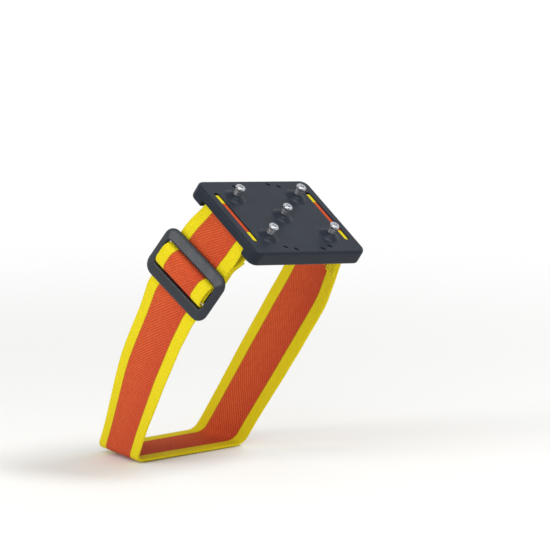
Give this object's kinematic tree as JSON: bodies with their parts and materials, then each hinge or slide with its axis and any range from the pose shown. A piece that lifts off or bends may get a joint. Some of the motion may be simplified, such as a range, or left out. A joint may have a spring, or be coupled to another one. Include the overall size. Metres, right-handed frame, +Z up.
{
  "type": "mid-sole ice cleat",
  "caption": "Studded rectangular traction plate on an elastic webbing loop with a three-bar slider, worn round a boot's arch and turned up onto the instep when stowed.",
  "frame": {"origin": "middle of the webbing's run under the sole, on the face that meets the boot's arch", "axes": "+X across the foot from the slider's side to the far side, +Y towards the heel, +Z up"},
  "size_m": [0.1027, 0.1356, 0.1595],
  "materials": {
    "plate": "fine moulded matte",
    "stud": "bright zinc-plated",
    "tip": "ground carbide",
    "insert": "zinc-plated",
    "slider": "satin moulded",
    "webbing": "woven elastic with yellow edges",
    "thread": "polyester thread"
  },
  "bodies": {
    "strap": {"webbing_lower_layer": "webbing", "webbing_near_bar_loop": "webbing", "webbing_upper_layer": "webbing", "webbing_near_upper": "webbing", "webbing_near_lower": "webbing", "webbing_under_sole": "webbing", "webbing_far_lower": "webbing", "webbing_far_upper": "webbing"},
    "slider": {"slider_frame": "slider", "webbing_over_slider": "webbing", "webbing_sewn_end": "webbing", "slider_stitching": "thread"},
    "plate": {"traction_plate": "plate", "stud_heel_near": "stud", "stud_heel_far": "stud", "stud_centre": "stud", "stud_toe_near": "stud", "stud_toe_far": "stud", "tip_heel_near": "tip", "tip_heel_far": "tip", "tip_centre": "tip", "tip_toe_near": "tip", "tip_toe_far": "tip", "insert_heel_near": "insert", "insert_heel_far": "insert", "insert_centre": "insert", "insert_toe_near": "insert", "insert_toe_far": "insert", "webbing_far_bar_loop": "webbing", "far_stitching": "thread"}
  },
  "joints": [
    {"name": "slider_travel", "type": "slide", "parent": "strap", "child": "slider", "axis": [0.2351, -0.5294, 0.8152], "range_m": [-0.014, 0.008], "deforming": ["webbing_upper_layer", "webbing_lower_layer", "webbing_near_upper"]},
    {"name": "plate_lift", "type": "hinge", "parent": "strap", "child": "plate", "pos_m": [-0.03027, -0.08911, 0.13722], "axis": [0, -0.8387, -0.5446], "range_deg": [0, 12], "deforming": ["webbing_far_upper"]}
  ]
}
